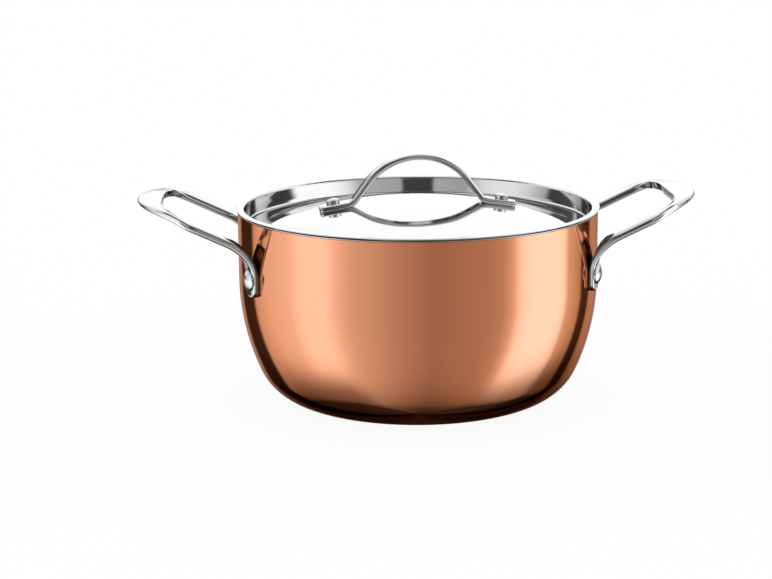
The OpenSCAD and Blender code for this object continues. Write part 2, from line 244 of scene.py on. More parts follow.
def spot_face(obj: Object, bottom: Vector, top: Vector, radius: float) -> None:
    """Cuts a round seat into a piece. All lengths are millimetres.

    Args:
        obj: The piece.
        bottom: Middle of the seat.
        top: Middle of its open end.
        radius: Radius of the seat.
    """
    clear()
    way = top - bottom
    bpy.ops.mesh.primitive_cylinder_add(
        vertices=SMALL_LATHE_STEPS, radius=radius * MM, depth=way.length * MM,
        location=(bottom + top) / 2 * MM, rotation=way.to_track_quat("Z", "Y").to_euler())
    cutter = named("cutter")
    bpy.ops.object.transform_apply(location=True, rotation=True, scale=True)
    take(obj)
    bpy.ops.object.modifier_add(type="BOOLEAN")
    tool = obj.modifiers[-1]
    tool.operation, tool.solver, tool.object = "DIFFERENCE", "EXACT", cutter
    bpy.ops.object.modifier_apply(modifier=tool.name)
    take(cutter)
    bpy.ops.object.delete()


def set_down(obj: Object, at: Vector, turn: Sequence[float]) -> None:
    """Moves and turns a piece, and keeps both in its mesh.

    Args:
        obj: The piece.
        at: Its place in millimetres.
        turn: Its Euler angles.
    """
    take(obj)
    obj.location, obj.rotation_euler = at * MM, turn
    bpy.ops.object.transform_apply(location=True, rotation=True, scale=True)


def copied(obj: Object, name: str) -> Object:
    """Copies obj with its own mesh, and returns the copy under its name."""
    take(obj)
    bpy.ops.object.duplicate(linked=False)
    return named(name)


def hand_over(obj: Object, body: Body, node: str, material: Material) -> None:
    """Dresses a finished piece and gives it its body and CAD node.

    Args:
        obj: The finished piece.
        body: Body it rides on.
        node: CAD node that it stands for.
        material: Its finish.
    """
    obj.data.materials.clear()
    obj.data.materials.append(material)
    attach(obj, body.value)
    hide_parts(node)
    LOG.info("%s: %d faces, rides on %s, stands for %s", obj.name, len(obj.data.polygons), body.value, node)


@dataclass(frozen=True)
class PotLine:
    """Side view of the pot, which its copper, its lining and everything riveted to it share."""

    mouth_r: float = 100.0
    copper_t: float = 1.7
    lining_t: float = 0.8
    height: float = 109.2
    rim_t: float = 0.8
    base_r: float = 62.8
    corner_r: float = 31.2
    upright_z: float = 71.0
    flat_shares: tuple[float, ...] = (0.0, 0.3, 0.6, 0.85)
    upright_shares: tuple[float, ...] = (0.33, 0.66, 1.0)
    corner_steps: int = 26
    side_steps: int = 20

    @property
    def wall_t(self) -> float:
        """Copper and lining together."""
        return self.copper_t + self.lining_t

    @property
    def wall_r(self) -> float:
        """Outer radius of the upright wall."""
        return self.mouth_r + self.wall_t

    @property
    def side_r(self) -> float:
        """Radius of the curved side between the upright wall and the base corner."""
        run, drop = self.wall_r - self.base_r, self.upright_z - self.corner_r
        return (run ** 2 + drop ** 2 - self.corner_r ** 2) / (2 * (run - self.corner_r))

    def outline(self, inset: float, top_z: float) -> list[Point2]:
        """Gives the wall from the axis to a height.

        Args:
            inset: Distance inside the outer face.
            top_z: Height of the last point.

        Returns:
            Points as radius and height.
        """
        low = (self.base_r, self.corner_r)
        side = (self.wall_r - self.side_r, self.upright_z)
        meet = degrees(atan2(low[1] - side[1], low[0] - side[0]))
        return ([(self.base_r * s, inset) for s in self.flat_shares]
                + arc(low, self.corner_r - inset, -90, meet, self.corner_steps)
                + arc(side, self.side_r - inset, meet, 0, self.side_steps)[1:]
                + [(self.wall_r - inset, self.upright_z + (top_z - self.upright_z) * s)
                   for s in self.upright_shares])

    def radius_at(self, z: float) -> float:
        """Outer radius of the wall at a height above the base corner."""
        drop = max(0.0, self.upright_z - z)
        return self.wall_r - self.side_r + sqrt(self.side_r ** 2 - drop ** 2)


@dataclass(frozen=True)
class LidLine:
    """Side view of the pressed lid: dome, sunk channel, wall and flange."""

    pot: PotLine = PotLine()
    sheet_t: float = 1.0
    play: float = 0.4
    seat: float = 0.3
    flange_over: float = 0.9
    channel_depth: float = 10.6
    channel_w: float = 10.0
    dome_rise: float = 13.2
    channel_bend_r: float = 1.4
    flange_bend_r: float = 0.5
    lip_r: float = 0.25
    undercut: float = 32.0
    dome_steps: int = 44
    bend_steps: int = 10

    @property
    def outer_r(self) -> float:
        """Outside of the lid's wall in the mouth."""
        return self.pot.mouth_r - self.play

    @property
    def inner_r(self) -> float:
        """Inside of the lid's wall."""
        return self.outer_r - self.sheet_t

    @property
    def flange_z(self) -> float:
        """Underside of the flange."""
        return self.pot.height + self.pot.rim_t + self.seat

    @property
    def channel_z(self) -> float:
        """Top of the channel's floor."""
        return self.flange_z + self.sheet_t - self.channel_depth

    @property
    def dome_r(self) -> float:
        """Radius of the dome."""
        return ((self.inner_r - self.channel_w) ** 2 + self.dome_rise ** 2) / (2 * self.dome_rise)

    @property
    def dome_z(self) -> float:
        """Height of the dome's centre."""
        return self.channel_z + self.dome_rise - self.dome_r

    @property
    def dome_c(self) -> Vector:
        """Centre of the dome."""
        return Vector((0, 0, self.dome_z))

    def skin(self, depth: float) -> list[Point2]:
        """Gives the line of the lid from the axis to the flange.

        Args:
            depth: Distance below the top face.

        Returns:
            Points as radius and height.
        """
        radius = self.dome_r - depth
        foot = sqrt(radius ** 2 - (self.channel_z - depth - self.dome_z) ** 2)
        low, high, steps = self.channel_bend_r, self.flange_bend_r, self.bend_steps
        return (arc((0, self.dome_z), radius, 90, degrees(acos(foot / radius)), self.dome_steps)
                + arc((self.inner_r - low, self.channel_z + low), low + depth, -90, 0, steps)
                + arc((self.outer_r + high, self.flange_z - high), high + self.sheet_t - depth, 180, 90, steps))

    def edge(self) -> list[Point2]:
        """Gives the edge of the flange, rounded above and undercut to its underside."""
        lip, flange_r = self.lip_r, self.pot.wall_r + self.flange_over
        points = arc((flange_r - lip, self.flange_z + self.sheet_t - lip), lip, 90, -self.undercut,
                     self.bend_steps)
        x, z = points[-1]
        return points + [(x - (z - self.flange_z) * tan(radians(self.undercut)), self.flange_z)]


@dataclass(frozen=True)
class Strap:
    """Cross-section of a forged strap."""

    edge: float = 1.1
    inner_edge: Point2 = (1.1, 1.1)
    inner_low: float = 1.1
    steps: int = 6
    top_count: int = 12
    bottom_count: int = 6
    drop_share: float = 0.15

    def section(self, width: float, thick: float, dish: float = 0.0, drop: float = 0.0,
                lift: float = 0.0) -> list[Point2]:
        """Gives the section as points across and up.

        Args:
            width: Width from the inner to the outer edge.
            thick: Thickness.
            dish: Depth of the hollow in the top.
            drop: Drop of the inner edge.
            lift: Rise of the underside at the outer edge.

        Returns:
            Closed ring of points, counter-clockwise.
        """
        half, up = width / 2, thick / 2
        e, low, ix = min(self.edge, half), min(self.inner_low, half), min(self.inner_edge[0], half)
        iy = min(self.inner_edge[1], thick - self.inner_low)
        quarter = [radians(90 * i / self.steps) for i in range(self.steps + 1)]
        top, bottom = ([i / (n + 1) for i in range(1, n + 1)] for n in (self.top_count, self.bottom_count))
        outer_x, inner_x = half - e, ix - half
        plain = [(outer_x + e * cos(a), up - self.edge + self.edge * sin(a)) for a in quarter]
        plain += [(outer_x + (inner_x - outer_x) * s, up) for s in top]
        plain += [(inner_x - ix * sin(a), up - iy + iy * cos(a)) for a in quarter]
        plain += [(low - half - low * cos(a), self.inner_low - up - self.inner_low * sin(a)) for a in quarter]
        plain += [(low - half + (outer_x + half - low) * s, -up) for s in bottom]
        plain += [(outer_x + e * sin(a), self.edge - up - self.edge * cos(a)) for a in quarter]
        ring = []
        for x, y in plain:
            s = 2 * x / width
            inner = max(0.0, (-s - self.drop_share) / (1 - self.drop_share))
            bent = y - (dish * max(0.0, 1 - s * s) if y > 0 else 0.0) + (lift * s * s if y < 0 < s else 0.0)
            ring.append((x, bent - drop * inner ** 2))
        return ring


@dataclass(frozen=True)
class Rivet:
    """A rivet with a domed outer head and a low head behind."""

    shank_d: float
    head_d: float
    head_h: float
    edge_h: float
    back_d: float
    back_h: float
    soft: float
    back_steps: int = 10
    cap_steps: int = 14
    crease: float = 40.0

    def behind(self, radius: float) -> float:
        """Height over a round wall's axis where the low head's rim meets the wall."""
        return sqrt(radius ** 2 - self.back_d ** 2 / 4)

    @staticmethod
    def cap(width: float, height: float) -> Point2:
        """Gives the radius of a domed head, and the angle in degrees from its top to its rim."""
        radius = (width ** 2 / 4 + height ** 2) / (2 * height)
        return radius, degrees(asin(width / (2 * radius)))

    def build(self, name: str, far: float, seat: float) -> Object:
        """Turns the rivet standing on Z.

        Args:
            name: Name of the piece.
            far: Height of the rim of the low head.
            seat: Height of the outer head's seat.

        Returns:
            The rivet, on the axis.
        """
        cap_r, cap_a = self.cap(self.head_d, self.head_h - self.edge_h)
        back_r, back_a = self.cap(self.back_d, self.back_h)
        outline = arc((0, far - self.back_h + back_r), back_r, -90, back_a - 90, self.back_steps)
        outline += [(self.shank_d / 2, far), (self.shank_d / 2, seat), (self.head_d / 2, seat)]
        outline += arc((0, seat + self.head_h - cap_r), cap_r, 90 - cap_a, 90, self.cap_steps)
        obj = turn_on_lathe(name, outline, SMALL_LATHE_STEPS)
        round_circle(obj, self.head_d / 2, seat + self.edge_h, self.soft)
        return smooth(obj, self.crease)


@dataclass
class PotBody:
    """Copper wall and bonded steel lining."""

    line: PotLine = PotLine()
    outer_bead_steps: int = 10
    inner_bead_steps: int = 8

    def build_copper(self) -> Object:
        """Turns the copper wall and base and returns it."""
        line = self.line
        inner = line.outline(line.copper_t, line.height)
        return smooth(turn_on_lathe("copper_wall", line.outline(0, line.height) + inner[::-1]))

    def build_lining(self) -> Object:
        """Turns the lining with the bead that it makes on the rim, and returns it."""
        line = self.line
        bead = line.rim_t / 2
        middle = line.height + bead
        over_rim = (arc((line.wall_r - bead, middle), bead, -90, 90, self.outer_bead_steps)
                    + arc((line.mouth_r + bead, middle), bead, 90, 180, self.inner_bead_steps))
        inner = line.outline(line.wall_t, middle)
        return smooth(turn_on_lathe(
            "lining", line.outline(line.copper_t, line.height) + over_rim + inner[-2::-1]))

    def make(self, copper: Material, lining: Material) -> None:
        """Builds and dresses both.

        Args:
            copper: Finish of the outside.
            lining: Finish of the inside.
        """
        hand_over(self.build_copper(), Body.POT, "copper_shell", copper)
        hand_over(self.build_lining(), Body.POT, "steel_lining", lining)


@dataclass
class LoopHandle:
    """One forged loop handle: two root pads, two arms and a grip."""

    wall: PotLine = PotLine()
    rivet: Rivet = Rivet(shank_d=6.0, head_d=11.6, head_h=3.0, edge_h=1.0, back_d=10.0, back_h=1.6,
                         soft=0.35)
    reach: float = 56.0
    width: float = 99.0
    strap_w: float = 11.5
    strap_t: float = 4.0
    pad_t: float = 3.2
    edge: float = 1.1
    arm_edge: float = 1.8
    arm_inner_edge: Point2 = (1.8, 3.0)
    arm_inner_low: float = 0.8
    arm_spread: float = 1.35
    arm_slope: float = 25.0
    root_bend_r: float = 22.0
    twist_share: float = 0.8
    grip_w: float = 14.3
    grip_bend_r: float = 42.0
    grip_level: float = 6.0
    grip_blend: float = 30.0
    end_bow: float = 16.0
    corner_r: float = 18.0
    opening_corner_r: float = 13.0
    dish: float = 0.5
    inner_drop: float = 1.4
    outer_lift: float = 1.8
    side_flat: float = 0.02
    pad_drop: float = 10.0
    rivet_depth: float = 30.9
    rivet_drop: float = 1.3
    seat_play: float = 0.2
    seat_depth: float = 9.0
    foot_turn: float = 86.0
    foot_spacing: float = 0.8
    pad_steps: int = 15
    root_steps: int = 24
    corner_steps: int = 16
    end_steps: int = 20
    arm_shares: tuple[float, ...] = (0.25, 0.5, 0.75)

    @property
    def pad_y(self) -> float:
        """Distance of a pad's middle from the handle's middle plane."""
        return (self.width - self.strap_w) / 2 - self.arm_spread

    @property
    def pad_mid_r(self) -> float:
        """Radius of the middle of a pad."""
        return sqrt(self.wall.wall_r ** 2 - self.strap_w ** 2 / 4) + self.pad_t / 2

    @property
    def pad_turn(self) -> float:
        """Angle of a pad round the pot's axis, in radians."""
        return asin(self.pad_y / self.pad_mid_r)

    @property
    def pad_x(self) -> float:
        """Place of a pad's middle along X."""
        return self.pad_mid_r * cos(self.pad_turn)

    @property
    def tip_x(self) -> float:
        """Tip of the loop."""
        return self.wall.wall_r + self.reach

    @property
    def rivet_z(self) -> float:
        """Height of the wall rivets."""
        return self.wall.height - self.rivet_depth

    @property
    def root_z(self) -> float:
        """Height where the strap leaves the wall."""
        return self.rivet_z + self.rivet_drop

    @property
    def seat_r(self) -> float:
        """Radius of the seat of the rivet heads."""
        return self.pad_mid_r + self.pad_t / 2

    @property
    def slope(self) -> float:
        """Slope of the arms, in radians."""
        return radians(self.arm_slope)

    @property
    def root_tangent(self) -> float:
        """Length of the root bend's tangents."""
        return self.root_bend_r * tan((pi / 2 - self.slope) / 2)

    @property
    def arm_end_x(self) -> float:
        """Place along X where the sloping arm starts to level out."""
        return self.tip_x - self.grip_level - self.grip_bend_r * sin(self.slope)

    def slope_at(self, x: float) -> float:
        """Gives the slope of the strap at x, in radians."""
        bent = (self.tip_x - self.grip_level - x) / self.grip_bend_r
        return asin(min(max(bent, 0.0), sin(self.slope)))

    def height_at(self, x: float) -> float:
        """Gives the height of the middle of the strap.

        Args:
            x: Place along X.

        Returns:
            The height.
        """
        end_z = self.root_z + self.root_tangent + tan(self.slope) * (self.arm_end_x - self.pad_x)
        if x <= self.arm_end_x:
            return end_z - tan(self.slope) * (self.arm_end_x - x)
        return end_z + self.grip_bend_r * (cos(self.slope_at(x)) - cos(self.slope))

    def strap(self, arm_share: float) -> Strap:
        """Gives the strap's edges: 0 on the pads, 1 on the arms and the grip."""
        arms = (self.arm_edge, *self.arm_inner_edge, self.arm_inner_low)
        edge, across, up, low = (self.edge + (b - self.edge) * arm_share for b in arms)
        return Strap(edge=edge, inner_edge=(across, up), inner_low=low)

    def loop_ring(self, outer: Point2, inner: Point2) -> Ring:
        """Gives the ring between a point of the outer outline and one of the finger opening.

        Args:
            outer: Point of the outer outline, seen from above.
            inner: Point of the opening.

        Returns:
            The ring in space.
        """
        mx, my = (outer[0] + inner[0]) / 2, (outer[1] + inner[1]) / 2
        slope = self.slope_at(mx)
        dx = outer[0] - inner[0]
        span = Vector((dx, outer[1] - inner[1], tan(slope) * dx))
        grip = ease((self.width / 2 - outer[1]) / self.grip_blend)
        lift = self.outer_lift * ease(1 - outer[1] / (self.width / 2))
        edge = min(self.arm_edge, (self.strap_t - lift) / 2 - self.side_flat)
        section = replace(self.strap(1.0), edge=edge).section(
            span.length, self.strap_t, self.dish * grip, self.inner_drop * grip, lift)
        return ring_at(Vector((mx, my, self.height_at(mx))), span.normalized(),
                       Vector((-sin(slope), 0, cos(slope))), section)

    def pad_rings(self) -> list[Ring]:
        """Gives the rings of a pad from its rounded foot to the start of the root bend."""
        c, s, half = cos(self.pad_turn), sin(self.pad_turn), self.strap_w / 2
        tongue_z = self.rivet_z - self.pad_drop + half
        rings = []
        for i in range(self.pad_steps + 1):
            a = radians(self.foot_turn * (1 - i / self.pad_steps) ** self.foot_spacing)
            rest = max(0.0, self.edge - half * (1 - sin(a)))
            rounding = self.edge - sqrt(self.edge ** 2 - rest ** 2)
            section = [(x, y + (rounding if y < 0 else 0.0))
                       for x, y in Strap(self.edge).section(self.strap_w * cos(a), self.pad_t)]
            rings.append(ring_at(Vector((self.pad_x, self.pad_y, tongue_z - half * sin(a))),
                                 Vector((-s, c, 0)), Vector((-c, -s, 0)), section))
        return rings

    def root_rings(self) -> list[Ring]:
        """Gives the rings of the twisted bend from the wall to the arm."""
        rings = []
        for i in range(self.root_steps + 1):
            s = i / self.root_steps
            th = pi / 2 - (pi / 2 - self.slope) * s
            turn = self.pad_turn * (1 - ease(s / self.twist_share))
            level, steep = Vector((0, 1, 0)), Vector((-sin(th), 0, cos(th)))
            place = Vector((self.pad_x + self.root_bend_r * (1 - sin(th)),
                            self.pad_y + self.arm_spread * ease(s), self.root_z + self.root_bend_r * cos(th)))
            section = self.strap(ease(s)).section(
                self.strap_w, self.pad_t + (self.strap_t - self.pad_t) * ease(s))
            rings.append(ring_at(place, level * cos(turn) + steep * sin(turn),
                                 steep * cos(turn) - level * sin(turn), section))
        return rings

    def half_rings(self) -> list[Ring]:
        """Gives the rings of the rear half, from the foot of its pad to the tip."""
        half, bow = self.width / 2, self.end_bow
        corner = (self.tip_x - self.corner_r - bow, half - self.corner_r)
        end_r = self.corner_r + (corner[1] ** 2 + bow ** 2) / (2 * bow)
        end_c = (self.tip_x - end_r, 0.0)
        corner_a = degrees(atan2(corner[1], corner[0] - end_c[0]))
        hole_x, hole_r = self.tip_x - self.grip_w, self.opening_corner_r
        hole_c = (hole_x - hole_r, half - self.strap_w - hole_r)
        outer = (arc(corner, self.corner_r, 90, corner_a, self.corner_steps)
                 + arc(end_c, end_r, corner_a, 0, self.end_steps)[1:])
        inner = arc(hole_c, hole_r, 90, 0, self.corner_steps)
        inner += [(hole_x, hole_c[1] * (1 - i / self.end_steps)) for i in range(1, self.end_steps + 1)]
        root_end = self.pad_x + self.root_tangent * cos(self.slope)
        last = min(corner[0], hole_c[0])
        arms = [root_end + (last - root_end) * s for s in self.arm_shares]
        return (self.pad_rings() + self.root_rings()
                + [self.loop_ring((x, half), (x, half - self.strap_w)) for x in arms]
                + [self.loop_ring(o, i) for o, i in zip(outer, inner)])

    def on_wall(self, place: Vector) -> Vector:
        """Moves a point that would lie in the wall out to its face, and returns it."""
        wall, radius = self.wall.radius_at(place.z), hypot(place.x, place.y)
        if place.z > self.wall.height or radius >= wall:
            return place
        return Vector((place.x * wall / radius, place.y * wall / radius, place.z))

    def rivet_way(self, side: int) -> Vector:
        """Direction of a rivet from the axis: 1 rear, -1 front."""
        return Vector((cos(self.pad_turn), side * sin(self.pad_turn), 0))

    def build(self) -> Object:
        """Forges the loop, seats its rivets and returns it."""
        half = self.half_rings()
        front = backwards(half[:-1], Vector((1, -1, 1)))
        obj = draw_out("right_loop_handle", [[self.on_wall(p) for p in ring] for ring in half + front])
        level = Vector((0, 0, self.rivet_z))
        for side in (1, -1):
            way = self.rivet_way(side)
            spot_face(obj, level + way * self.seat_r, level + way * (self.seat_r + self.seat_depth),
                      self.rivet.head_d / 2 + self.seat_play)
        return smooth(obj)

    def make(self, finish: Material) -> None:
        """Builds both handles, the left one as a copy turned half round.

        Args:
            finish: Finish of the forged steel.
        """
        right = self.build()
        left = copied(right, "left_loop_handle")
        set_down(left, Vector(), (0, 0, pi))
        hand_over(right, Body.POT, "right_handle", finish)
        hand_over(left, Body.POT, "left_handle", finish)


@dataclass
class WallRivets:
    """The four rivets of the loop handles."""

    handle: LoopHandle

    def make(self, finish: Material) -> None:
        """Turns one rivet and sets its copies.

        Args:
            finish: Finish of the rivets.
        """
        handle = self.handle
        model = handle.rivet.build("wall_rivet", handle.rivet.behind(handle.wall.mouth_r), handle.seat_r)
        for hand in Side:
            for side in (1, -1):
                front = side < 0 if hand is Side.RIGHT else side > 0
                name = f"{hand.name.lower()}_{'front' if front else 'rear'}"
                obj = copied(model, f"{name}_wall_rivet")
                turn = side * handle.pad_turn + radians(hand.value)
                set_down(obj, Vector((0, 0, handle.rivet_z)), (0, pi / 2, turn))
                hand_over(obj, Body.POT, f"{name}_rivet", finish)
        take(model)
        bpy.ops.object.delete()


@dataclass
class Lid:
    """Pressed lid with its arched handle and two rivets."""

    line: LidLine = LidLine()
    rivet: Rivet = Rivet(shank_d=4.0, head_d=7.5, head_h=3.2, edge_h=2.3, back_d=7.0, back_h=1.4, soft=0.3)
    arch_h: float = 23.5
    arch_r: float = 34.5
    arch_w: float = 9.5
    arch_t: float = 3.4
    arch_edge: float = 1.4
    side_flat: float = 0.05
    top_count: int = 8
    leg_slope: float = 53.0
    foot_bend_r: float = 5.7
    rivet_gap: float = 96.0
    foot_end: float = 8.3
    foot_corner_r: float = 2.0
    foot_sink: float = 0.3
    end_round: float = 0.5
    turn: float = 4.0
    arch_steps: int = 30
    bend_steps: int = 12
    end_steps: int = 8

    @property
    def tilt(self) -> float:
        """Slope of the dome at a rivet, in radians."""
        return asin(self.rivet_gap / 2 / self.line.dome_r)

    def build_pan(self) -> Object:
        """Turns the pressed sheet and returns it."""
        line = self.line
        return smooth(turn_on_lathe("lid_sheet", line.skin(0) + line.edge() + line.skin(line.sheet_t)[::-1]))

    def arch_ring(self, place: Point2, slope: float, narrow: float = 0.0, thin: float = 0.0) -> Ring:
        """Gives a ring of the handle strap.

        Args:
            place: Middle of the strap in its side view.
            slope: Downward slope of the strap, in radians.
            narrow: What the width lacks here.
            thin: What the thickness lacks here.

        Returns:
            The ring in space, before the handle is turned.
        """
        thick = self.arch_t - thin
        soft = min(self.arch_edge, thick / 2 - self.side_flat)
        strap = Strap(edge=soft, inner_edge=(self.arch_edge, soft), inner_low=soft, top_count=self.top_count)
        return ring_at(Vector((place[0], 0, place[1])), Vector((0, -1, 0)),
                       Vector((sin(slope), 0, cos(slope))), strap.section(self.arch_w - narrow, thick))

    def half_rings(self) -> list[Ring]:
        """Gives the rings of half the arch, from its top to the tip of a foot."""
        line, tilt, slope = self.line, self.tilt, radians(self.leg_slope)
        mid_r = self.arch_r + self.arch_t / 2
        middle = (0, line.dome_z + line.dome_r + self.arch_h + self.arch_t / 2 - mid_r)
        leg = swing(middle, mid_r, slope)
        foot = swing((0, line.dome_z), line.dome_r + self.arch_t / 2 - self.foot_sink, tilt)
        corner_x = ((leg[1] - foot[1] + tan(slope) * leg[0] - tan(tilt) * foot[0])
                    / (tan(slope) - tan(tilt)))
        corner = (corner_x, foot[1] - tan(tilt) * (corner_x - foot[0]))
        turn = slope - tilt
        tangent = self.foot_bend_r * tan(turn / 2)
        bend = swing((corner[0] - tangent * cos(slope), corner[1] + tangent * sin(slope)),
                     self.foot_bend_r, slope)
        arch = [slope * i / self.arch_steps for i in range(self.arch_steps + 1)]
        rings = [self.arch_ring(swing(middle, mid_r, a), a) for a in arch]
        bent = [slope - turn * i / self.bend_steps for i in range(self.bend_steps + 1)]
        rings += [self.arch_ring(swing(bend, -self.foot_bend_r, a), a) for a in bent]
        r, e = self.foot_corner_r, self.end_round
        for i in range(self.end_steps + 1):
            a = radians(90 * i / self.end_steps)
            back = r * (1 - sin(a))
            thin = e - sqrt(e ** 2 - max(0.0, e - back) ** 2)
            along = self.foot_end - back
            rings.append(self.arch_ring((foot[0] + along * cos(tilt), foot[1] - along * sin(tilt)), tilt,
                                        2 * r * (1 - cos(a)), 2 * thin))
        return rings

    def on_dome(self, place: Vector) -> Vector:
        """Moves a point that would lie in the lid out to the dome's face, and returns it."""
        out = place - self.line.dome_c
        if out.length >= self.line.dome_r:
            return place
        return self.line.dome_c + out.normalized() * self.line.dome_r

    def rivet_way(self, side: int) -> Vector:
        """Direction of a rivet from the dome's centre: 1 right, -1 left."""
        turn, flat = radians(self.turn), side * sin(self.tilt)
        return Vector((flat * cos(turn), flat * sin(turn), cos(self.tilt)))

    def build_handle(self) -> Object:
        """Bends the strap, flattens its feet on the dome and returns it; the heads sit on its flat top."""
        half = self.half_rings()
        other = backwards(half[1:], Vector((-1, 1, 1)))
        obj = draw_out("lid_arch", [[self.on_dome(p) for p in ring] for ring in other + half])
        set_down(obj, Vector(), (0, 0, radians(self.turn)))
        return smooth(obj)

    def make(self, sheet: Material, strap: Material, rivets: Material) -> None:
        """Builds and dresses the lid.

        Args:
            sheet: Finish of the pressed sheet.
            strap: Finish of the handle.
            rivets: Finish of the rivets.
        """
        line = self.line
        hand_over(self.build_pan(), Body.LID, "lid_pan", sheet)
        hand_over(self.build_handle(), Body.LID, "lid_handle", strap)
        far = self.rivet.behind(line.dome_r - line.sheet_t) - line.dome_r
        for side, name in ((1, "right"), (-1, "left")):
            obj = self.rivet.build(f"{name}_lid_rivet_head", far, self.arch_t - self.foot_sink)
            set_down(obj, line.dome_c + self.rivet_way(side) * line.dome_r,
                     (0, side * self.tilt, radians(self.turn)))
            hand_over(obj, Body.LID, f"{name}_lid_rivet", rivets)


class Wiring:
    """Adds nodes to one node tree and joins them."""

    row_length = 8
    pitch = (220, 280)

    def __init__(self, tree: NodeTree) -> None:
        """Keeps the tree and empties it."""
        self.tree = tree
        tree.nodes.clear()

    def node(self, kind: str, sinks: dict[str | int, object] | None = None, **settings: object) -> Node:
        """Adds a node, in rows of the editor.

        Args:
            kind: Its type, without the leading "ShaderNode".
            sinks: What its inputs get, by name or number: outputs of other nodes, or values.
            **settings: Properties by name.

        Returns:
            The node.
        """
        row, column = divmod(len(self.tree.nodes), self.row_length)
        made = self.tree.nodes.new(kind if kind.startswith("NodeGroup") else f"ShaderNode{kind}")
        made.location = (column * self.pitch[0], -row * self.pitch[1])
        for name, value in settings.items():
            setattr(made, name, value)
        for key, source in (sinks or {}).items():
            if isinstance(source, NodeSocket):
                self.tree.links.new(source, made.inputs[key])
            else:
                made.inputs[key].default_value = source
        return made

    def maths(self, operation: str, *values: object) -> NodeSocket:
        """Adds a Math node on sockets or numbers, and returns its output."""
        return self.node("Math", dict(enumerate(values)), operation=operation).outputs[0]

    def mix(self, factor: object, a: object, b: object, blend: str = "MIX") -> NodeSocket:
        """Adds a mix of two colours, and returns its result."""
        sinks = {"Factor": factor, "A": a, "B": b}
        return self.node("Mix", sinks, data_type="RGBA", blend_type=blend).outputs["Result"]

    def mix_shaders(self, factor: object, first: Node, second: Node, output: str) -> None:
        """Mixes two shaders by a factor and gives the mix to an output node."""
        both = self.node("MixShader", {0: factor, 1: first.outputs[0], 2: second.outputs[0]})
        self.node(output, {"Surface": both.outputs[0]})

    def ramp(self, factor: NodeSocket, stops: Sequence[tuple[float, ...]]) -> NodeSocket:
        """Adds a ramp.

        Args:
            factor: What it reads.
            stops: Position and level of each stop, or position, red, green and blue.

        Returns:
            The colour output.
        """
        made = self.node("ValToRGB", {"Fac": factor})
        bar = made.color_ramp
        while len(bar.elements) > 1:
            bar.elements.remove(bar.elements[-1])
        for i, (place, *levels) in enumerate(stops):
            stop = bar.elements[0] if i == 0 else bar.elements.new(place)
            stop.position = place
            stop.color = (*(levels * 3)[:3], 1)
        return made.outputs["Color"]


def new_nodes(kind: bpy.types.bpy_prop_collection, name: str) -> tuple[Material | World, Wiring]:
    """Adds a material or world by name, and returns it with the wiring of its nodes."""
    made = kind.new(name)
    made.use_nodes = True
    return made, Wiring(made.node_tree)


